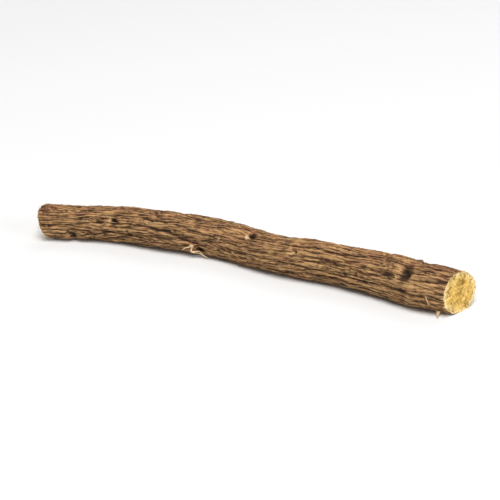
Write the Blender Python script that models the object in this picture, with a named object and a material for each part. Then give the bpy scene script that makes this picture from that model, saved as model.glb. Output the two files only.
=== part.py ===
"""A dried licorice root: one length of root, cut across at both ends, lying on its side.

Metres, +Z up. +X runs from the thinner end to the thicker one, and z = 0 is the surface it lies on.
The sizes below are in millimetres. A place is counted along X from the middle of the thinner end's cut.
An angle goes round the root in degrees from its front, which faces -Y, with 90 at the top.
"""

import math

import bmesh
import bpy
import numpy as np
from mathutils import Vector, noise

NAME = "licorice_root"
MM = 0.001

LENGTH = 150.0
# (place, distance to the back): the root's shallow S, seen from above.
BOW = ((0, 0.0), (20, 5.3), (42, 6.8), (62, 8.4), (84, 4.4), (112, 3.1), (126, 1.8), (137, -0.5), (150, -0.4))
# (place, radius over the ridges): a slow taper, with a knot near the thicker end.
THICKNESS = ((0, 6.35), (20, 6.4), (42, 6.75), (85, 6.9), (117, 7.1), (128, 7.7), (141, 7.8), (150, 7.2))
# (place, gap below): the root touches the surface at three low places, which stand round its weight.
LIFT = ((0, 0.2), (8, 0.0), (38, 0.9), (70, 0.0), (106, 0.8), (139, 0.0), (150, 0.2))
REST_DEPTH = 0.7

# The outward direction of each cut. Both are slanted, as a blade leaves them.
THIN_END_CUT = Vector((-0.939, 0.068, -0.337))
THICK_END_CUT = Vector((0.881, -0.452, 0.137))

# Waves of the skin: (height, size along, size round, seed).
SWELL = (0.45, 17.0, 9.0, 3.1)
SWAY = (1.1, 24.0, 12.0, 11.7)
RIDGES = (0.6, 34.0, 3.4, 27.3)
WRINKLES = (0.34, 14.0, 2.0, 41.9)
FURROW_SHARE = 0.42
NOISE_RADIUS = 6.8
# The furrows lose this share of their depth at the ends, over this length.
CALM = 0.6
CALM_LENGTH = 7.0

# Marks where rootlets broke off and the bark folded: (place, angle, length along, width round, height).
MARKS = (
    (24.8, 38, 1.4, 1.7, -1.0),
    (22.7, 38, 1.4, 2.1, 0.55),
    (8.9, -28, 1.5, 2.8, -0.8),
    (6.6, -16, 1.4, 2.4, 0.4),
    (30.5, -12, 3.6, 1.2, -0.6),
    (36.5, -2, 3.6, 1.2, -0.5),
    (36.0, -58, 2.4, 1.5, 0.4),
    (57.0, -30, 2.0, 2.2, -1.2),
    (58.2, 6, 2.4, 2.6, 0.55),
    (54.2, -12, 1.5, 1.8, 0.4),
    (77.0, 69, 1.4, 1.7, -1.0),
    (75.2, 57, 1.4, 1.6, 0.6),
    (92.7, 37, 2.8, 2.8, 0.65),
    (93.1, 40, 1.4, 1.4, -0.7),
    (104.9, 22, 2.2, 1.7, -0.5),
    (133.6, 54, 1.5, 2.6, -1.4),
    (130.8, 38, 1.5, 2.6, 0.5),
    (133.5, -14, 1.4, 4.6, -0.4),
    (133.0, 98, 3.8, 3.3, 0.5),
    (18.5, 197, 1.7, 1.8, -0.9),
    (47.2, 163, 1.7, 1.7, -1.1),
    (44.4, 163, 1.6, 2.1, 0.5),
    (68.0, 222, 2.3, 2.1, 0.6),
    (88.5, 176, 1.6, 2.3, -1.0),
    (112.5, 214, 2.1, 1.7, -1.0),
    (115.4, 212, 1.7, 2.3, 0.5),
    (121.5, 142, 1.7, 1.8, -0.9),
)

SEGMENTS = 56
RINGS = 84
END_STEPS = 25

BARK_COLOR = (0.26, 0.147, 0.072, 1.0)
CUT_COLOR = (0.75, 0.48, 0.14, 1.0)
BARK_ROUGHNESS = 0.8
CUT_ROUGHNESS = 0.7


def curve(points, place):
    """Reads a smooth curve through (place, value) points. It is level wherever its values turn back."""
    places, values = np.array(points, float).T
    rises = np.diff(values) / np.diff(places)
    turning = rises[:-1] * rises[1:] <= 0
    slopes = np.concatenate([rises[:1], np.where(turning, 0.0, (rises[:-1] + rises[1:]) / 2), rises[-1:]])
    i = min(max(int(np.searchsorted(places, place)) - 1, 0), len(places) - 2)
    span = places[i + 1] - places[i]
    t = (place - places[i]) / span
    start = values[i] * (1 + 2 * t) * (1 - t) ** 2 + slopes[i] * span * t * (1 - t) ** 2
    end = values[i + 1] * t * t * (3 - 2 * t) - slopes[i + 1] * span * t * t * (1 - t)
    return float(start + end)


def wave(shape, place, angle):
    """Smooth noise on the skin, from about -1 to 1, whose features have the shape's two sizes."""
    _, along, across, seed = shape
    reach = NOISE_RADIUS / across
    return noise.noise(Vector((place / along + seed, reach * math.cos(angle), reach * math.sin(angle))))


def furrow(shape, place, angle):
    """Depth of a set of lengthwise furrows, with wide flat ridges between them."""
    height = min(abs(wave(shape, place, angle)) / FURROW_SHARE, 1.0)
    return shape[0] * (1 - height) ** 2


def marks(place, angle):
    """Height of the scars, knots and folds."""
    total = 0.0
    for mark_place, mark_angle, length, width, height in MARKS:
        along = (place - mark_place) / length
        across = math.remainder(angle - math.radians(mark_angle), math.tau) * NOISE_RADIUS / width
        total += height * math.exp(-along * along - across * across)
    return total


def calm(place):
    """Share of their depth that the furrows keep: all of it, but for the ends."""
    from_ends = (place / CALM_LENGTH) ** 2, ((LENGTH - place) / CALM_LENGTH) ** 2
    return 1 - CALM * sum(math.exp(-distance) for distance in from_ends)


def radius(place, angle):
    """Distance from the centre line to the skin."""
    swayed = angle + SWAY[0] / NOISE_RADIUS * wave(SWAY, place, angle)
    furrows = furrow(RIDGES, place, swayed) + furrow(WRINKLES, place, swayed)
    relief = SWELL[0] * wave(SWELL, place, angle) + marks(place, angle) - calm(place) * furrows
    return curve(THICKNESS, place) + relief


def centre(place):
    """A point of the centre line."""
    height = curve(THICKNESS, place) + curve(LIFT, place) - REST_DEPTH
    return Vector((place, curve(BOW, place), height))


def skin_point(place, angle):
    """A point of the root's skin, flattened where it would go below the surface it lies on."""
    forward = (centre(place + 0.5) - centre(place - 0.5)).normalized()
    back = Vector((-forward.y, forward.x, 0.0)).normalized()
    outward = math.sin(angle) * forward.cross(back) - math.cos(angle) * back
    point = centre(place) + radius(place, angle) * outward
    point.z = max(point.z, 0.0)
    return point


def place_on_cut(end, cut, angle):
    """The place where the lengthwise line at an angle meets the cut through the centre line's end."""
    place = end
    for _ in range(END_STEPS):
        place -= (skin_point(place, angle) - centre(end)).dot(cut) / cut.x
    return place


def straight_rod():
    """A rod along Z with lengthwise lines and even rings, for the root's shape to bend."""
    rod = bmesh.new()
    bmesh.ops.create_cone(rod, cap_ends=True, segments=SEGMENTS, radius1=1, radius2=1, depth=1)
    lengthwise = [edge for edge in rod.edges if edge.verts[0].co.z * edge.verts[1].co.z < 0]
    bmesh.ops.subdivide_edges(rod, edges=lengthwise, cuts=RINGS - 1, use_grid_fill=True)
    return rod


def bend_to_root(rod):
    """Moves the rod's points on to the root, with its two caps on the cuts.

    The rod's X, Y and Z become the front, the top and the way along. That set is left-handed,
    so the faces are reversed.
    """
    ends = {}
    for vertex in rod.verts:
        angle = math.atan2(vertex.co.y, vertex.co.x)
        line = round(math.degrees(angle), 2) % 360
        if line not in ends:
            ends[line] = place_on_cut(0.0, THIN_END_CUT, angle), place_on_cut(LENGTH, THICK_END_CUT, angle)
        thin_end, thick_end = ends[line]
        share = vertex.co.z + 0.5
        vertex.co = skin_point(thin_end + share * (thick_end - thin_end), angle) * MM
    bmesh.ops.reverse_faces(rod, faces=rod.faces)


def centre_on_origin(root):
    """Puts the middle of the root's box over the origin."""
    corners = np.array([vertex.co for vertex in root.verts])
    middle = (corners.min(axis=0) + corners.max(axis=0)) / 2
    bmesh.ops.translate(root, verts=root.verts, vec=(-middle[0], -middle[1], 0.0))


def plain_material(name, color, roughness):
    material = bpy.data.materials.new(name)
    material.use_nodes = True
    shader = material.node_tree.nodes["Principled BSDF"]
    shader.inputs["Base Color"].default_value = color
    shader.inputs["Roughness"].default_value = roughness
    shader.inputs["Metallic"].default_value = 0.0
    return material


def make_root(collection):
    """The root as one solid, with bark on its side and cut wood on its ends."""
    shape = straight_rod()
    bend_to_root(shape)
    centre_on_origin(shape)
    for face in shape.faces:
        face.material_index = int(len(face.verts) == SEGMENTS)
    mesh = bpy.data.meshes.new(NAME)
    shape.to_mesh(mesh)
    shape.free()
    mesh.materials.append(plain_material("bark", BARK_COLOR, BARK_ROUGHNESS))
    mesh.materials.append(plain_material("cut_wood", CUT_COLOR, CUT_ROUGHNESS))
    mesh.shade_smooth()
    mesh.set_sharp_from_angle(angle=math.radians(55))
    root = bpy.data.objects.new(NAME, mesh)
    collection.objects.link(root)


def main():
    for old in list(bpy.data.objects):
        bpy.data.objects.remove(old, do_unlink=True)
    collection = bpy.data.collections.new(NAME)
    bpy.context.scene.collection.children.link(collection)
    make_root(collection)


main()
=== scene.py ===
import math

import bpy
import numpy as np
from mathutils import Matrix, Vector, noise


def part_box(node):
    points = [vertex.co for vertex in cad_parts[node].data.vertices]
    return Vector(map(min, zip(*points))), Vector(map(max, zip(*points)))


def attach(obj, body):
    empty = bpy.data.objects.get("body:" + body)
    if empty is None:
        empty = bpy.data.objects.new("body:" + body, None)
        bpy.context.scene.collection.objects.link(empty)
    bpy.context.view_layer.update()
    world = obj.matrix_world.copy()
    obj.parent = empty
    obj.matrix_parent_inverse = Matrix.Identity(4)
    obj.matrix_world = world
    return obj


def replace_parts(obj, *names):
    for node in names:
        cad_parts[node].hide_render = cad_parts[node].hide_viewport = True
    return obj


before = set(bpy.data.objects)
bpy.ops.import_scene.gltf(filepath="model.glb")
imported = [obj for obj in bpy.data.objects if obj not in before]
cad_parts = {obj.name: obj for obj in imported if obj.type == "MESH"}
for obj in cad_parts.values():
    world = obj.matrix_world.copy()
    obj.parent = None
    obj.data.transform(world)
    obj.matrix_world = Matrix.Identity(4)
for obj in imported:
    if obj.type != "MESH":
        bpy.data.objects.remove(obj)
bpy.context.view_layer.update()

# The looks of a dried licorice root: its wrinkled bark, its fibrous cut ends and the loose fibres on it.
# A place is counted along X from the middle of the thinner end's cut. An angle goes round the root from its
# front, which faces -Y, with a quarter turn at the top. The lists give it in degrees, and the functions take
# radians. Lengths are in millimetres until a mesh is made. Those of the floor, the lights and the view are
# in metres.

NODE = "licorice_root"
BODY = "root"
MM = 0.001

# The form of the solid, which the fine skin keeps.
LENGTH = 150.0
# (place, distance to the back)
BOW = ((0, 0.0), (20, 5.3), (42, 6.8), (62, 8.4), (84, 4.4), (112, 3.1), (126, 1.8), (137, -0.5), (150, -0.4))
# (place, radius over the ridges)
THICKNESS = ((0, 6.35), (20, 6.4), (42, 6.75), (85, 6.9), (117, 7.1), (128, 7.7), (141, 7.8), (150, 7.2))
# (place, gap below)
LIFT = ((0, 0.2), (8, 0.0), (38, 0.9), (70, 0.0), (106, 0.8), (139, 0.0), (150, 0.2))
REST_DEPTH = 0.7
THIN_END_CUT = np.array((-0.939, 0.068, -0.337))
THICK_END_CUT = np.array((0.881, -0.452, 0.137))
# Waves of the skin: (height, size along, size round, seed).
SWELL = (0.45, 17.0, 9.0, 3.1)
SWAY = (1.1, 24.0, 12.0, 11.7)
RIDGES = (0.6, 34.0, 3.4, 27.3)
WRINKLES = (0.34, 14.0, 2.0, 41.9)
# Furrows lie where their wave is nearer to 0 than this share.
FURROW_SHARE = 0.42
NOISE_RADIUS = 6.8
# The furrows lose this share of their depth at the ends, over this length.
CALM = 0.6
CALM_LENGTH = 7.0
# Scars, knots and folds: (place, angle in degrees, length along, width round, height).
MARKS = (
    (24.8, 38, 1.4, 1.7, -1.0),
    (22.7, 38, 1.4, 2.1, 0.55),
    (8.9, -28, 1.5, 2.8, -0.8),
    (6.6, -16, 1.4, 2.4, 0.4),
    (30.5, -12, 3.6, 1.2, -0.6),
    (36.5, -2, 3.6, 1.2, -0.5),
    (36.0, -58, 2.4, 1.5, 0.4),
    (57.0, -30, 2.0, 2.2, -1.2),
    (58.2, 6, 2.4, 2.6, 0.55),
    (54.2, -12, 1.5, 1.8, 0.4),
    (77.0, 69, 1.4, 1.7, -1.0),
    (75.2, 57, 1.4, 1.6, 0.6),
    (92.7, 37, 2.8, 2.8, 0.65),
    (93.1, 40, 1.4, 1.4, -0.7),
    (104.9, 22, 2.2, 1.7, -0.5),
    (133.6, 54, 1.5, 2.6, -1.4),
    (130.8, 38, 1.5, 2.6, 0.5),
    (133.5, -14, 1.4, 4.6, -0.4),
    (133.0, 98, 3.8, 3.3, 0.5),
    (18.5, 197, 1.7, 1.8, -0.9),
    (47.2, 163, 1.7, 1.7, -1.1),
    (44.4, 163, 1.6, 2.1, 0.5),
    (68.0, 222, 2.3, 2.1, 0.6),
    (88.5, 176, 1.6, 2.3, -1.0),
    (112.5, 214, 2.1, 1.7, -1.0),
    (115.4, 212, 1.7, 2.3, 0.5),
    (121.5, 142, 1.7, 1.8, -0.9),
)

# Waves of the same kind that the fine skin adds, two with their own share. The wobble bends the fine lines.
WOBBLE = (0.8, 6.0, 3.0, 19.3)
CREASES = (0.22, 5.6, 1.15, 63.2)
THREADS = (0.2, 5.0, 1.0, 72.6)
THREAD_SHARE = 0.3
FIBRES = (0.13, 4.2, 0.7, 85.4)
CROSS_CRACKS = (0.2, 1.6, 3.2, 50.7)
CRACK_SHARE = 0.2
# Where the cross cracks are: wherever this wave is above 0, and in full where it reaches 1.
CRACKED = (5.0, 9.0, 5.0, 8.4)
# Where scales have come off, to this depth: the wave times the steepness, less the start, from 0 to 1.
SCALED = (0.1, 6.5, 2.6, 5.9)
SCALED_START = 2
SCALED_STEEPNESS = 12
GRAIN = (0.15, 2.6, 0.95, 97.6)
# How far the edges of scars wander.
RAGGED = (0.7, 1.2, 1.0, 33.1)
# Small pits and warts: their number, the clear length at each end, and their ranges of size.
SPECKS = 150
SPECK_SEED = 11
SPECK_MARGIN = 2
SPECK_LENGTHS = (0.45, 1.0)
SPECK_WIDTHS = (0.4, 0.8)
SPECK_HEIGHTS = (-0.3, -0.2, 0.2, 0.28)
# The height at which stubs and flakes have their full colour, and pits their full painted shade.
FULL_HEIGHT = 0.4
# Broken stubs and steep pits, with blunt tops and flat floors:
# (place, angle, length along, width round, height).
STUBS = (
    (23.5, 38, 0.7, 1.3, 0.28),
    (10.6, 70, 0.6, 0.5, 0.3),
    (54.4, -10, 0.9, 0.9, 0.5),
    (75.9, 57, 0.85, 0.9, 0.55),
    (93.1, 39, 0.7, 0.7, 0.3),
    (131.4, 34, 0.55, 0.6, 0.32),
    (132.4, 64, 0.5, 0.6, 0.25),
    (65.0, 27, 0.6, 0.7, 0.25),
    (105.6, 20, 0.6, 0.6, 0.25),
    (18.7, 197, 0.8, 0.8, 0.5),
    (46.4, 163, 0.8, 0.9, 0.5),
    (88.2, 176, 0.8, 1.1, 0.5),
    (113.4, 213, 0.8, 0.9, 0.5),
    (121.0, 142, 0.8, 0.8, 0.5),
    (24.8, 38, 0.75, 1.2, -0.4),
    (7.3, -7, 0.6, 0.8, -0.3),
    (8.2, -18, 0.6, 0.8, -0.35),
    (9.2, -31, 0.8, 1.2, -0.4),
    (57.2, -32, 1.3, 1.3, -0.5),
    (77.0, 70, 0.75, 1.2, -0.5),
    (94.0, 44, 0.5, 0.8, -0.3),
    (134.4, 49, 0.75, 0.8, -0.6),
    (133.3, 58, 0.6, 0.6, -0.35),
    (47.6, 163, 0.9, 1.1, -0.5),
    (88.9, 176, 0.7, 1.3, -0.5),
    (112.1, 214, 0.9, 1.0, -0.5),
    (121.9, 142, 0.7, 1.0, -0.4),
)
# Lifted flakes of bark, listed in the same way, which rise along X and end sharply.
FLAKES = (
    (43.6, 94, 2.4, 1.5, 0.5),
    (97.0, 112, 1.6, 1.0, 0.45),
    (133.4, 100, 3.0, 1.6, 0.5),
    (12.0, 84, 1.6, 1.0, 0.25),
    (63.0, 140, 2.4, 1.2, 0.4),
    (83.0, 12, 1.6, 0.9, 0.25),
    (118.0, 62, 2.0, 1.1, 0.25),
    (30.0, 215, 2.2, 1.2, 0.35),
    (102.0, 190, 2.6, 1.3, 0.4),
    (141.0, 165, 2.0, 1.2, 0.35),
)

# Broken rootlets and lifted fibres: (name, thick radius, thin radius, points from the skin to the tip), where
# each point is (place, angle, height over the skin).
ROOTLETS = (
    ("tuft_long", 0.36, 0.16,
     ((54.5, -12, -0.4), (53.9, -23, 0.6), (54.6, -31, 0.9), (57.0, -41, 1.0), (60.0, -47, 1.1))),
    ("tuft_left", 0.26, 0.1, ((54.2, -10, -0.3), (53.0, -16, 0.6), (51.6, -19, 0.9), (50.9, -24, 1.0))),
    ("tuft_fork", 0.22, 0.1, ((54.4, -29, 0.7), (55.9, -29, 1.1), (57.2, -33, 1.4), (58.0, -38, 1.3))),
    ("splinter", 0.8, 0.2, ((144.4, -54, -0.5), (144.6, -44, 0.9), (144.9, -38, 2.5))),
    ("lifted_fibre", 0.17, 0.1, ((140.2, 2, -0.1), (140.8, -8, 0.35), (141.5, -17, 0.15))),
    ("back_tuft", 0.28, 0.1, ((88.0, 177, -0.4), (87.2, 188, 0.8), (85.2, 196, 1.2), (83.0, 205, 0.9))),
    ("back_fibre", 0.16, 0.08, ((30.0, 205, -0.1), (32.5, 209, 0.4), (35.5, 210, 0.2))),
)
FIBRE_SEED = 23
# Loose fibres scattered along the bark: their number, the ranges of place and angle where they start, their
# least number of points and one more than their most, the steps between the points, how far they turn at a
# step, the heights over the skin where they start and go on, and the radii where they start and end.
BARK_FIBRES = 46
BARK_FIBRE_PLACES = (4, LENGTH - 14)
BARK_FIBRE_ANGLES = (-45, 225)
BARK_FIBRE_POINTS = (4, 9)
BARK_FIBRE_STEPS = (0.7, 1.1)
BARK_FIBRE_TURN = 0.035
BARK_FIBRE_START = -0.15
BARK_FIBRE_LIFTS = (0.02, 0.2)
BARK_FIBRE_RADII = (0.12, 0.2)
BARK_FIBRE_TIP = 0.06
# Torn fibres round each cut's rim: their number, how far inwards and behind the cut they start, their
# lengths, the shares of outwards, of the cut's way and of chance in their way, their bend, their least
# height above the floor, and the radii where they start and end.
RIM_FIBRES = 60
RIM_FIBRE_INWARDS = 0.35
RIM_FIBRE_BEHIND = 0.2
RIM_FIBRE_LENGTHS = (0.5, 1.2)
RIM_FIBRE_OUT_SHARE = 0.7
RIM_FIBRE_CUT_SHARE = 0.5
RIM_FIBRE_STRAY = 0.35
RIM_FIBRE_BEND = 0.1
RIM_FIBRE_FLOOR = 0.15
RIM_FIBRE_RADII = (0.1, 0.05)

# The skin's mesh: points round it, steps along it, rings on each cut, and rounds to find where a line ends.
SEGMENTS = 208
RINGS = 424
CUT_RINGS = 26
END_STEPS = 14
SHARP_ANGLE = 60
# How far the fine and the broad hollows are blurred, in rings and in segments, and their full depths.
# The bark's painted shade in the hollows and its painted highlight on the raised points follow these.
FINE_BLUR = (3, 3)
BROAD_BLUR = (12, 11)
FINE_DEPTH = 0.22
BROAD_DEPTH = 0.55

# The cut faces: (height, size) of their waves, and how much the rays change on the way out.
CUT_SWELL = (0.14, 3.5)
CUT_FIBRES = (0.16, 0.75)
CUT_RAYS = (0.09, 0.55)
RAY_CHANGE = 1.5
# The groove where the inner bark starts, in shares of the way out but for its depth, and the calm rim.
INNER_BARK = 0.86
INNER_BARK_WIDTH = 0.03
INNER_BARK_DEPTH = 0.1
CUT_CALM = 0.1
# (angle, share of the way out, size, depth): a pith that lies off the middle, and small tears.
THIN_END_HOLLOWS = ((40, 0.10, 0.9, 0.35), (160, 0.55, 0.5, 0.25), (290, 0.45, 0.5, 0.3))
THICK_END_HOLLOWS = ((118, 0.48, 1.3, 0.5), (232, 0.30, 0.6, 0.25), (335, 0.62, 0.5, 0.3))

# The skin's map for baking its colours, in shares of the image: the side in two rows, the cuts above them.
MAP_NAME = "OFBake"
MAP_EDGE = 0.01
MAP_ROW = 0.4
MAP_CUT_RADIUS = 0.09
MAP_THIN_CUT = (0.1, 0.9)
MAP_THICK_CUT = (0.3, 0.9)

# How the coordinates of the colours' noise are turned, in radians, so that its streaks don't end in rows.
NOISE_TURN = (0.0, 0.6, 0.7)
BARK_ROUGHNESS = 0.85
WOOD_ROUGHNESS = 0.8
SPECULAR = 0.25
BUMP_STRENGTH = 0.6
BARK_BUMP = 0.22
CUT_BUMP = 0.25
# The darkest and the lightest colour of each kind of fibre, and the fineness of their shades, per metre.
TAN_FIBRE = ((150, 114, 74), (206, 170, 124))
CREAM_FIBRE = ((216, 186, 126), (244, 222, 176))
PALE_FIBRE = ((214, 178, 128), (248, 222, 180))
FIBRE_SHADES = 600.0

FLOOR_SIZE = 4.0
FLOOR_GREY = 0.82
FLOOR_ROUGHNESS = 0.9
# The square lights: (name, place, watts).
LIGHTS = (
    ("top_light", (0.22, -0.6, 1.5), 26.0),
    ("side_light", (1.32, -0.22, 0.55), 6.0),
    ("back_light", (0.3, 1.1, 1.1), 4.5),
)
LIGHT_SIZE = 0.88
WORLD_STRENGTH = 0.25

# The photograph's view, in degrees round and up, and the width that the picture shows at the root.
AZIMUTH = 20.7
ELEVATION = 28.0
DISTANCE = 0.45
AIM = (0.0, 0.0, 0.0065)
VIEW_WIDTH = 0.172
SENSOR = 36.0


def srgb(red, green, blue):
    """A shader's colour from the usual 0 to 255 values."""
    shares = [value / 255 for value in (red, green, blue)]
    return (*(s / 12.92 if s <= 0.04045 else ((s + 0.055) / 1.055) ** 2.4 for s in shares), 1.0)


def curve(points, place):
    """Reads a smooth curve through (place, value) points. It is level wherever its values turn back."""
    places, values = np.array(points, float).T
    rises = np.diff(values) / np.diff(places)
    turning = rises[:-1] * rises[1:] <= 0
    slopes = np.concatenate([rises[:1], np.where(turning, 0.0, (rises[:-1] + rises[1:]) / 2), rises[-1:]])
    i = np.clip(np.searchsorted(places, place) - 1, 0, len(places) - 2)
    span = places[i + 1] - places[i]
    t = (place - places[i]) / span
    start = values[i] * (1 + 2 * t) * (1 - t) ** 2 + slopes[i] * span * t * (1 - t) ** 2
    end = values[i + 1] * t * t * (3 - 2 * t) - slopes[i + 1] * span * t * t * (1 - t)
    return start + end


def wave(shape, place, angle):
    """Smooth noise on the skin, from about -1 to 1, whose features have the shape's two sizes."""
    _, along, across, seed = shape
    reach = NOISE_RADIUS / across
    points = zip(place / along + seed, reach * np.cos(angle), reach * np.sin(angle))
    return np.array([noise.noise(point) for point in points])


def furrow(shape, place, angle, share=FURROW_SHARE):
    """Depth of a set of lengthwise furrows, with wide flat ridges between them."""
    height = np.minimum(np.abs(wave(shape, place, angle)) / share, 1.0)
    return shape[0] * (1 - height) ** 2


def calm(place):
    """Share of their depth that the furrows keep: all of it, but for the ends."""
    return 1 - CALM * sum(np.exp(-(((place - end) / CALM_LENGTH) ** 2)) for end in (0.0, LENGTH))


def from_mark(mark, place, angle):
    """How far places lie from a mark, along and round, in its own length and width."""
    turn = np.remainder(angle - math.radians(mark[1]) + math.pi, math.tau) - math.pi
    return (place - mark[0]) / mark[2], turn * NOISE_RADIUS / mark[3]


def marks(listed, place, angle):
    """Height of the scars, knots and folds."""
    total = np.zeros_like(place)
    for mark in listed:
        along, across = from_mark(mark, place, angle)
        total += mark[4] * np.exp(-(along**2) - across**2)
    return total


def stubs(place, angle):
    """Height of the broken stubs and the steep pits."""
    total = np.zeros_like(place)
    for stub in STUBS:
        along, across = from_mark(stub, place, angle)
        total += stub[4] * np.exp(-((along**2 + across**2) ** 2))
    return total


def flakes(place, angle):
    """Height of the lifted flakes."""
    total = np.zeros_like(place)
    for flake in FLAKES:
        along, across = from_mark(flake, place, angle)
        rise = np.clip((along + 1) / 2, 0, 1) * (along < 1)
        total += flake[4] * rise * np.exp(-(across**4))
    return total


def specks():
    """Small pits and warts, scattered with a fixed seed."""
    random = np.random.default_rng(SPECK_SEED)
    places = random.uniform(SPECK_MARGIN, LENGTH - SPECK_MARGIN, SPECKS)
    angles = random.uniform(0, 360, SPECKS)
    lengths = random.uniform(*SPECK_LENGTHS, SPECKS)
    widths = random.uniform(*SPECK_WIDTHS, SPECKS)
    heights = random.choice(SPECK_HEIGHTS, SPECKS)
    return list(zip(places, angles, lengths, widths, heights))


def solid_radius(place, angle, swayed):
    """The radius that the solid has."""
    furrows = furrow(RIDGES, place, swayed) + furrow(WRINKLES, place, swayed)
    swell = SWELL[0] * wave(SWELL, place, angle)
    return curve(THICKNESS, place) + swell + marks(MARKS, place, angle) - calm(place) * furrows


def fine_relief(place, angle, swayed):
    """Height of what the skin adds to the solid, with the shares that its colours follow."""
    bent = swayed + WOBBLE[0] / NOISE_RADIUS * wave(WOBBLE, place, angle)
    creased = furrow(CREASES, place, bent) + furrow(FIBRES, place, bent)
    raised = furrow(THREADS, place, bent, THREAD_SHARE)
    cracked = np.clip(CRACKED[0] * wave(CRACKED, place, angle), 0, 1)
    cracks = cracked * furrow(CROSS_CRACKS, place, bent, CRACK_SHARE)
    scaled = np.clip(wave(SCALED, place, bent) * SCALED_STEEPNESS - SCALED_START, 0, 1)
    ragged = RAGGED[0] * wave(RAGGED, place, angle)
    stubbed = stubs(place + ragged, angle + ragged / NOISE_RADIUS)
    flaked = flakes(place, angle)
    height = raised + stubbed + flaked + marks(specks(), place, angle) + GRAIN[0] * wave(GRAIN, place, bent)
    shares = {
        # Above 0 on the stubs, whose pale colour is their broken ends, and below 0 in the pits, which get
        # painted shade.
        "stub": np.clip(stubbed / FULL_HEIGHT, -1, 1),
        "flake": np.clip(flaked / FULL_HEIGHT, 0, 1),
        "scaled": scaled,
    }
    return height - creased - cracks - SCALED[0] * scaled, shares


def relief(place, angle):
    """Radius of the skin, the shares that the bark's colours follow, and the way of its grain."""
    swayed = angle + SWAY[0] / NOISE_RADIUS * wave(SWAY, place, angle)
    fine, shares = fine_relief(place, angle, swayed)
    return solid_radius(place, angle, swayed) + fine, shares, swayed


def centre(place):
    """Points of the centre line."""
    height = curve(THICKNESS, place) + curve(LIFT, place) - REST_DEPTH
    return np.stack([place, curve(BOW, place), height], axis=-1)


def unit(vectors):
    return vectors / np.linalg.norm(vectors, axis=-1, keepdims=True)


def outward(place, angle):
    """Directions square to the centre line."""
    forward = unit(centre(place + 0.5) - centre(place - 0.5))
    back = unit(np.stack([-forward[:, 1], forward[:, 0], np.zeros_like(place)], axis=-1))
    up = np.cross(forward, back)
    return np.sin(angle)[:, None] * up - np.cos(angle)[:, None] * back


def on_skin(place, angle, radius):
    """Points at a radius, flattened where they would go below the surface that the root lies on."""
    points = centre(place) + radius[:, None] * outward(place, angle)
    points[:, 2] = np.maximum(points[:, 2], 0.0)
    return points


def places_on_cut(end, cut, angle):
    """The places where the lengthwise lines at these angles meet the cut through the centre line's end."""
    middle = centre(np.array([end]))
    place = np.full_like(angle, end)
    for _ in range(END_STEPS):
        place -= (on_skin(place, angle, relief(place, angle)[0]) - middle) @ cut / cut[0]
    return place


def wood_waves(shape, points):
    """Height of smooth noise at points of a cut."""
    height, size = shape
    return height * np.array([noise.noise(point) for point in points / size])


def wood_rays(share, angles, seed):
    """Height of the rays, which go from the middle of a cut to its rim."""
    height, size = CUT_RAYS
    reach = NOISE_RADIUS / size
    points = zip(reach * np.cos(angles), reach * np.sin(angles), RAY_CHANGE * share + seed)
    return height * np.array([noise.noise(point) for point in points]) * share


def cut_face(rim, cut, angle, hollows):
    """Points in rings from just inside a cut's rim to its middle, with their ways from it and their heights.

    A way is a share of the way out, and the cosine and the sine of its angle.
    """
    share = np.repeat(np.arange(CUT_RINGS - 1, 0, -1) / CUT_RINGS, SEGMENTS)
    angles = np.tile(angle, CUT_RINGS - 1)
    middle = rim.mean(axis=0)
    flat = middle + share[:, None] * (np.tile(rim, (CUT_RINGS - 1, 1)) - middle)
    height = wood_waves(CUT_SWELL, flat) + wood_waves(CUT_FIBRES, flat) + wood_rays(share, angles, cut[0])
    height -= INNER_BARK_DEPTH * np.exp(-(((share - INNER_BARK) / INNER_BARK_WIDTH) ** 2))
    for turn, reach, size, depth in hollows:
        spot = middle + reach * (rim[int(turn / 360 * SEGMENTS)] - middle)
        height -= depth * np.exp(-(np.linalg.norm(flat - spot, axis=1) / size) ** 2)
    height *= np.clip((1 - share) / CUT_CALM, 0, 1)
    points = np.vstack([flat + height[:, None] * cut, middle])
    section = np.stack([share, np.cos(angles), np.sin(angles)], axis=-1)
    return points, np.vstack([section, (0.0, 1.0, 0.0)]), np.append(height, 0.0)


def strips(first, rings):
    """The four-sided faces between rings of points that start at an index."""
    ring, line = np.meshgrid(np.arange(rings - 1), np.arange(SEGMENTS), indexing="ij")
    following = (line + 1) % SEGMENTS
    here, there = first + ring * SEGMENTS, first + (ring + 1) * SEGMENTS
    return np.stack([here + line, here + following, there + following, there + line], axis=-1).reshape(-1, 4)


def blurred(grid, reach):
    """The mean round each point of a grid of rings, which is closed round the root and open at its ends."""
    rings, lines = reach
    padded = np.pad(grid, ((rings, rings), (0, 0)), mode="edge")
    along = sum(padded[i : i + len(grid)] for i in range(2 * rings + 1)) / (2 * rings + 1)
    return sum(np.roll(along, i, axis=1) for i in range(-lines, lines + 1)) / (2 * lines + 1)


def set_attribute(mesh, name, values):
    """Stores one number or one vector for each point of the mesh."""
    kind, field = ("FLOAT", "value") if values.ndim == 1 else ("FLOAT_VECTOR", "vector")
    attribute = mesh.attributes.new(name, kind, "POINT")
    attribute.data.foreach_set(field, values.astype(np.float32).ravel())


def add_piece(name, data, materials):
    """Links an object that rides on the root's body."""
    piece = bpy.data.objects.new(name, data)
    bpy.context.scene.collection.objects.link(piece)
    for material in materials:
        data.materials.append(material)
    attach(piece, BODY)
    return piece


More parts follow.
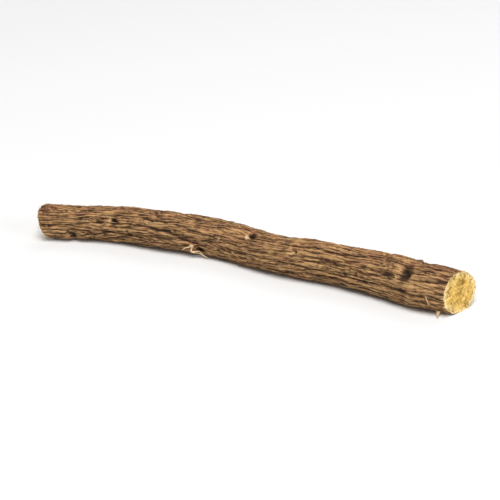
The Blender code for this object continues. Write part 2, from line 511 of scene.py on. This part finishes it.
def skin_faces(side_count, face_count):
    """Faces of the side and of the two cut faces, and the number of them that are on the side."""
    quads, fans = [strips(0, RINGS + 1)[:, ::-1]], []
    line = np.arange(SEGMENTS)
    following = (line + 1) % SEGMENTS
    ends = (0, side_count, False), (side_count - SEGMENTS, side_count + face_count, True)
    for rim, first, turned in ends:
        joint = np.stack([rim + line, rim + following, first + following, first + line], axis=-1)
        faces = np.vstack([joint, strips(first, CUT_RINGS - 1)])
        last = first + (CUT_RINGS - 2) * SEGMENTS
        fan = np.stack([last + line, last + following, np.full(SEGMENTS, last + SEGMENTS)], axis=-1)
        quads.append(faces[:, ::-1] if turned else faces)
        fans.append(fan[:, ::-1] if turned else fan)
    return np.vstack(quads).tolist() + np.vstack(fans).tolist(), len(quads[0])


def side_map():
    """Places on the map of the corners of the side's faces."""
    ring, line = np.meshgrid(np.arange(RINGS), np.arange(SEGMENTS), indexing="ij")
    along = np.stack([ring + 1, ring + 1, ring, ring], axis=-1)
    around = np.stack([line, line + 1, line + 1, line], axis=-1)
    row = (2 * ring >= RINGS).astype(int)[..., None]
    across = MAP_EDGE + (2 * along / RINGS - row) * (1 - 2 * MAP_EDGE)
    up = MAP_EDGE + row * MAP_ROW + around / SEGMENTS * (MAP_ROW - 2 * MAP_EDGE)
    return np.stack([across, up], axis=-1).reshape(-1, 2)


def add_map(mesh, section, thin_points):
    """Adds the map for baking. The corners of the side's faces come first, and then those of the cuts."""
    vertex = np.empty(len(mesh.loops), np.int32)
    mesh.loops.foreach_get("vertex_index", vertex)
    side = side_map()
    vertex = vertex[len(side):]
    middle = np.where(thin_points[vertex, None], MAP_THIN_CUT, MAP_THICK_CUT)
    cuts = middle + MAP_CUT_RADIUS * section[vertex, :1] * section[vertex, 1:]
    layer = mesh.uv_layers.new(name=MAP_NAME)
    layer.data.foreach_set("uv", np.vstack([side, cuts]).astype(np.float32).ravel())


def shift_to_frame(points):
    """The shift that puts the middle of the points' box over the middle of the solid's."""
    low, high = (np.array(corner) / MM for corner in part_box(NODE))
    shift = (low + high) / 2 - (points.min(axis=0) + points.max(axis=0)) / 2
    shift[2] = 0.0
    return shift


def standing_out(place, radius):
    """How far the side's points stand out from their near and from their wider surroundings, from -1 to 1."""
    grid = (radius - curve(THICKNESS, place)).reshape(RINGS + 1, SEGMENTS)
    near = blurred(grid, FINE_BLUR)
    fine = np.clip((grid - near) / FINE_DEPTH, -1, 1)
    broad = np.clip((near - blurred(grid, BROAD_BLUR)) / BROAD_DEPTH, -1, 1)
    return fine.ravel(), broad.ravel()


def make_skin(bark, cut_wood):
    """The whole root as one closed fine mesh. Returns its rims, and the shift of the form to the frame."""
    angle = np.arange(SEGMENTS) / SEGMENTS * math.tau
    thin_end = places_on_cut(0.0, THIN_END_CUT, angle)
    thick_end = places_on_cut(LENGTH, THICK_END_CUT, angle)
    place = (thin_end + np.linspace(0, 1, RINGS + 1)[:, None] * (thick_end - thin_end)).ravel()
    angles = np.tile(angle, RINGS + 1)
    radius, shares, swayed = relief(place, angles)
    side = on_skin(place, angles, radius)
    thin_rim, thick_rim = side[:SEGMENTS], side[-SEGMENTS:]
    thin_face, thin_section, thin_height = cut_face(thin_rim, THIN_END_CUT, angle, THIN_END_HOLLOWS)
    thick_face, thick_section, thick_height = cut_face(thick_rim, THICK_END_CUT, angle, THICK_END_HOLLOWS)
    shift = shift_to_frame(side)

    faces, side_faces = skin_faces(len(side), len(thin_face))
    mesh = bpy.data.meshes.new("root_skin")
    mesh.from_pydata(((np.vstack([side, thin_face, thick_face]) + shift) * MM).tolist(), [], faces)
    mesh.polygons.foreach_set("material_index", (np.arange(len(faces)) >= side_faces).astype(np.int32))

    # These shares drive the bark's painted shade in the hollows and its painted highlight on the raised
    # points.
    shares["fine"], shares["broad"] = standing_out(place, radius)
    heights = np.append(thin_height, thick_height)
    for name, values in shares.items():
        set_attribute(mesh, name, np.append(values, np.zeros_like(heights)))
    set_attribute(mesh, "cut_height", np.append(np.zeros_like(radius), heights))
    grain = np.stack([place, NOISE_RADIUS * np.cos(swayed), NOISE_RADIUS * np.sin(swayed)], axis=-1)
    set_attribute(mesh, "grain", np.vstack([grain, thin_face, thick_face]))
    rims = np.stack([np.ones_like(angles), np.cos(angles), np.sin(angles)], axis=-1)
    section = np.vstack([rims, thin_section, thick_section])
    set_attribute(mesh, "section", section)
    point = np.arange(len(section))
    on_thin_face = (point >= len(side)) & (point < len(side) + len(thin_face))
    add_map(mesh, section, on_thin_face | (point < SEGMENTS))
    mesh.shade_smooth()
    mesh.set_sharp_from_angle(angle=math.radians(SHARP_ANGLE))
    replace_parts(add_piece("root_skin", mesh, (bark, cut_wood)), NODE)
    return thin_rim, thick_rim, shift


def add_strands(name, strands, material, shift):
    """Tapering strands in one piece, each given as its points and its radii at the root and the tip."""
    data = bpy.data.curves.new(name, "CURVE")
    data.dimensions = "3D"
    data.bevel_depth = MM
    data.bevel_resolution = 1
    data.resolution_u = 4
    data.use_fill_caps = True
    for points, thick, thin in strands:
        spline = data.splines.new("NURBS")
        spline.points.add(len(points) - 1)
        radii = np.linspace(thick, thin, len(points))
        for point, spot, radius in zip(spline.points, points + shift, radii):
            point.co = (*(spot * MM), 1.0)
            point.radius = radius
        spline.order_u = 3
        spline.use_endpoint_u = True
    add_piece(name, data, (material,))


def over_skin(place, angle, lift):
    """Points at heights over the skin."""
    return on_skin(place, angle, relief(place, angle)[0] + lift)


def make_rootlets(material, shift):
    """The broken rootlets and the lifted fibres that stand out, one piece each."""
    for name, thick, thin, steps in ROOTLETS:
        place, angle, lift = np.array(steps, float).T
        strand = over_skin(place, np.radians(angle), lift), thick, thin
        add_strands(name, [strand], material, shift)


def make_bark_fibres(material, shift):
    """Thin fibres that follow the bark, partly sunk in it, anywhere but on the underside."""
    random = np.random.default_rng(FIBRE_SEED)
    strands = []
    for _ in range(BARK_FIBRES):
        count = random.integers(*BARK_FIBRE_POINTS)
        place = random.uniform(*BARK_FIBRE_PLACES) + np.arange(count) * random.uniform(*BARK_FIBRE_STEPS)
        first_angle = math.radians(random.uniform(*BARK_FIBRE_ANGLES))
        angle = first_angle + np.cumsum(random.normal(0, BARK_FIBRE_TURN, count))
        lift = np.append(BARK_FIBRE_START, random.uniform(*BARK_FIBRE_LIFTS, count - 1))
        strands.append((over_skin(place, angle, lift), random.uniform(*BARK_FIBRE_RADII), BARK_FIBRE_TIP))
    add_strands("bark_fibres", strands, material, shift)


def make_rim_fibres(name, rim, cut, material, shift):
    """Short torn fibres round a cut's rim."""
    random = np.random.default_rng(FIBRE_SEED)
    middle = rim.mean(axis=0)
    strands = []
    for line in random.integers(0, SEGMENTS, RIM_FIBRES):
        outwards = unit(rim[line] - middle)
        start = rim[line] - RIM_FIBRE_INWARDS * outwards - RIM_FIBRE_BEHIND * cut
        length = random.uniform(*RIM_FIBRE_LENGTHS)
        straight = RIM_FIBRE_OUT_SHARE * outwards + RIM_FIBRE_CUT_SHARE * cut
        reach = length * unit(straight + random.normal(0, RIM_FIBRE_STRAY, 3))
        bend = random.normal(0, RIM_FIBRE_BEND, 3)
        points = np.array((start, start + reach / 2 + bend, start + reach))
        points[:, 2] = np.maximum(points[:, 2], RIM_FIBRE_FLOOR)
        strands.append((points, *RIM_FIBRE_RADII))
    add_strands(name, strands, material, shift)


def add_node(tree, kind, inputs, **settings):
    """Adds a shader node, and sets or links each input."""
    made = tree.nodes.new(kind)
    for name, value in settings.items():
        setattr(made, name, value)
    for key, value in inputs.items():
        if isinstance(value, bpy.types.NodeSocket):
            tree.links.new(value, made.inputs[key])
        else:
            made.inputs[key].default_value = value
    return made


def read_attribute(tree, name, output="Fac"):
    return add_node(tree, "ShaderNodeAttribute", {}, attribute_name=name).outputs[output]


def noise_on(tree, vector, scale, detail=4.0, rough=0.6):
    """Noise over stretched and turned coordinates, from about 0.3 to 0.7."""
    settings = {"Vector": vector, "Scale": scale, "Rotation": NOISE_TURN}
    stretched = add_node(tree, "ShaderNodeMapping", settings).outputs["Vector"]
    inputs = {"Vector": stretched, "Scale": 1.0, "Detail": detail, "Roughness": rough}
    return add_node(tree, "ShaderNodeTexNoise", inputs).outputs["Fac"]


def spread(tree, value, low, high, to_low, to_high):
    """Maps a value's range to another, held at both ends."""
    inputs = {"Value": value, "From Min": low, "From Max": high, "To Min": to_low, "To Max": to_high}
    return add_node(tree, "ShaderNodeMapRange", inputs).outputs["Result"]


def maths(tree, operation, first, second):
    return add_node(tree, "ShaderNodeMath", {0: first, 1: second}, operation=operation).outputs[0]


def mix(tree, factor, first, second):
    """Mixes two colours."""
    return add_node(tree, "ShaderNodeMix", {0: factor, 6: first, 7: second}, data_type="RGBA").outputs[2]


def tinted(tree, color, tints):
    """A colour under tints: (value to follow, where it starts, where it is full, its share, its colour)."""
    for value, start, full, share, tint in tints:
        color = mix(tree, spread(tree, value, start, full, 0, share), color, srgb(*tint))
    return color


def ramp(tree, factor, stops):
    """A colour read from (position, colour) stops."""
    made = add_node(tree, "ShaderNodeValToRGB", {"Fac": factor})
    elements = made.color_ramp.elements
    while len(elements) < len(stops):
        elements.new(1.0)
    for element, (position, color) in zip(elements, stops):
        element.position = position
        element.color = srgb(*color)
    return made.outputs["Color"]


def new_material(name, roughness):
    """A material with its node tree and its Principled shader."""
    material = bpy.data.materials.new(name)
    material.use_nodes = True
    shader = material.node_tree.nodes["Principled BSDF"]
    shader.inputs["Roughness"].default_value = roughness
    shader.inputs["Specular IOR Level"].default_value = SPECULAR
    return material, material.node_tree, shader


def add_bump(tree, shader, height, distance):
    """Bumps from a value, with how far they stand out."""
    inputs = {"Height": height, "Strength": BUMP_STRENGTH, "Distance": distance * MM}
    bump = add_node(tree, "ShaderNodeBump", inputs)
    tree.links.new(bump.outputs["Normal"], shader.inputs["Normal"])


def bark_material():
    """Dry brown bark, with painted shade in its hollows and pits and a painted tan highlight on its threads,
    and with yellow, red and grey tints.
    """
    material, tree, shader = new_material("bark", BARK_ROUGHNESS)
    grain = read_attribute(tree, "grain", "Vector")
    streaks = noise_on(tree, grain, (0.14, 1.45, 1.45), detail=5.0, rough=0.7)
    spots = noise_on(tree, grain, (0.16, 1.85, 1.85))
    hairs = noise_on(tree, grain, (0.36, 3.6, 3.6), rough=0.7)
    flecks = maths(tree, "ADD", maths(tree, "MULTIPLY", spots, 0.6), maths(tree, "MULTIPLY", hairs, 0.4))
    patches = noise_on(tree, grain, (0.07, 0.16, 0.16), detail=3.0)
    yellow = noise_on(tree, grain, (0.2, 0.42, 0.42))
    red = noise_on(tree, grain, (0.15, 0.34, 0.34))

    # The bark is redder on top, and its flecks are darker at both ends.
    way = add_node(tree, "ShaderNodeSeparateXYZ", {"Vector": grain}).outputs
    redder = maths(tree, "ADD", red, spread(tree, way["Z"], 3.5, 7, 0, 0.13))
    thick_end_flecks = maths(tree, "ADD", flecks, spread(tree, way["X"], 134, 139, 0, -0.01))
    end_flecks = maths(tree, "ADD", thick_end_flecks, spread(tree, way["X"], 20, 90, -0.012, 0))

    fine = read_attribute(tree, "fine")
    stub = read_attribute(tree, "stub")
    streaked = ramp(tree, streaks, ((0.34, (78, 52, 31)), (0.50, (124, 91, 58)), (0.64, (164, 126, 84))))
    color = tinted(tree, streaked, (
        (patches, 0.45, 0.60, 0.4, (114, 86, 62)),
        (yellow, 0.50, 0.62, 0.45, (146, 111, 62)),
        (redder, 0.50, 0.65, 0.6, (132, 80, 58)),
        (read_attribute(tree, "scaled"), 0, 1, 0.25, (142, 106, 63)),
        (end_flecks, 0.505, 0.57, 0.85, (202, 158, 106)),
        (end_flecks, 0.49, 0.43, 0.95, (38, 23, 12)),
        # Painted highlight: tan on the points that stand out from their near surroundings. Painted shade:
        # dark brown in the fine and the broad hollows.
        (fine, 0.1, 0.9, 0.5, (188, 149, 104)),
        (fine, -0.05, -0.9, 0.75, (44, 28, 16)),
        (read_attribute(tree, "broad"), -0.1, -0.8, 0.75, (44, 28, 16)),
        (read_attribute(tree, "flake"), 0.3, 1, 0.6, (62, 38, 27)),
        (stub, 0.5, 1, 0.8, (222, 188, 148)),
        # Painted shade: near black in the steep pits.
        (stub, -0.2, -0.9, 0.85, (30, 20, 13)),
    ))
    tree.links.new(color, shader.inputs["Base Color"])
    add_bump(tree, shader, maths(tree, "ADD", streaks, flecks), BARK_BUMP)
    return material


def cut_material():
    """Dry yellow wood across the grain: pale fibres, darker spots, fine rays and a thin pale inner bark."""
    material, tree, shader = new_material("cut_wood", WOOD_ROUGHNESS)
    section = read_attribute(tree, "section", "Vector")
    grain = read_attribute(tree, "grain", "Vector")
    share = add_node(tree, "ShaderNodeSeparateXYZ", {"Vector": section}).outputs["X"]
    rays = noise_on(tree, section, (2.0, 11.0, 11.0), detail=3.0)
    mottle = noise_on(tree, grain, (0.33, 0.33, 0.33), detail=5.0)
    fibres = noise_on(tree, grain, (1.1, 1.1, 1.1), rough=0.7)
    uneven = maths(tree, "ADD", share, spread(tree, mottle, 0.3, 0.7, -0.2, 0.2))
    paler_outwards = ramp(tree, uneven, (
        (0.00, (190, 148, 66)),
        (0.35, (220, 176, 84)),
        (0.66, (218, 175, 85)),
        (0.80, (232, 202, 132)),
        (0.94, (240, 216, 162)),
    ))
    color = tinted(tree, paler_outwards, (
        (mottle, 0.49, 0.59, 0.95, (154, 118, 40)),
        (rays, 0.54, 0.68, 0.6, (246, 216, 142)),
        (fibres, 0.52, 0.61, 0.75, (250, 218, 136)),
        (fibres, 0.46, 0.37, 0.6, (142, 106, 38)),
        (read_attribute(tree, "cut_height"), -0.08, -0.3, 0.8, (122, 94, 40)),
    ))
    tree.links.new(color, shader.inputs["Base Color"])
    add_bump(tree, shader, maths(tree, "ADD", rays, fibres), CUT_BUMP)
    return material


def fibre_material(name, colors):
    """Dry fibres, uneven in colour along their length."""
    dark, light = colors
    material, tree, shader = new_material(name, WOOD_ROUGHNESS)
    place = add_node(tree, "ShaderNodeTexCoord", {}).outputs["Object"]
    shades = noise_on(tree, place, (FIBRE_SHADES, FIBRE_SHADES, FIBRE_SHADES), detail=3.0)
    tree.links.new(ramp(tree, shades, ((0.40, dark), (0.60, light))), shader.inputs["Base Color"])
    return material


def make_floor():
    """A wide pale floor."""
    bpy.ops.mesh.primitive_plane_add(size=FLOOR_SIZE, location=(0, 0, 0))
    floor = bpy.context.object
    floor.name = "floor"
    material, _, shader = new_material("pale_floor", FLOOR_ROUGHNESS)
    shader.inputs["Base Color"].default_value = (FLOOR_GREY, FLOOR_GREY, FLOOR_GREY, 1.0)
    floor.data.materials.append(material)


def make_light(name, location, power):
    """A square soft light that faces the root."""
    data = bpy.data.lights.new(name, "AREA")
    data.size = LIGHT_SIZE
    data.energy = power
    light = bpy.data.objects.new(name, data)
    bpy.context.scene.collection.objects.link(light)
    light.location = location
    light.rotation_euler = (Vector(AIM) - light.location).to_track_quat("-Z", "Y").to_euler()


def make_lights():
    """A bright even room, with large lights above the front, at the thicker end and high at the back."""
    world = bpy.data.worlds.new("studio")
    world.use_nodes = True
    background = world.node_tree.nodes["Background"]
    background.inputs["Color"].default_value = (1.0, 1.0, 1.0, 1.0)
    background.inputs["Strength"].default_value = WORLD_STRENGTH
    bpy.context.scene.world = world
    for name, location, power in LIGHTS:
        make_light(name, location, power)
    bpy.context.scene.view_settings.view_transform = "Standard"


def make_camera():
    """The photograph's viewing angle, from its distance."""
    data = bpy.data.cameras.new("camera")
    data.sensor_width = SENSOR
    data.lens = SENSOR * DISTANCE / VIEW_WIDTH
    camera = bpy.data.objects.new("camera", data)
    bpy.context.scene.collection.objects.link(camera)
    turn, rise = math.radians(AZIMUTH), math.radians(ELEVATION)
    back = Vector((math.sin(turn) * math.cos(rise), -math.cos(turn) * math.cos(rise), math.sin(rise)))
    camera.location = Vector(AIM) + DISTANCE * back
    camera.rotation_euler = (-back).to_track_quat("-Z", "Y").to_euler()
    bpy.context.scene.camera = camera


make_camera()
thin_rim, thick_rim, shift = make_skin(bark_material(), cut_material())
make_rootlets(fibre_material("pale_fibre", PALE_FIBRE), shift)
make_bark_fibres(fibre_material("tan_fibre", TAN_FIBRE), shift)
cream_fibre = fibre_material("cream_fibre", CREAM_FIBRE)
make_rim_fibres("thin_rim_fibres", thin_rim, THIN_END_CUT, cream_fibre, shift)
make_rim_fibres("thick_rim_fibres", thick_rim, THICK_END_CUT, cream_fibre, shift)
make_floor()
make_lights()
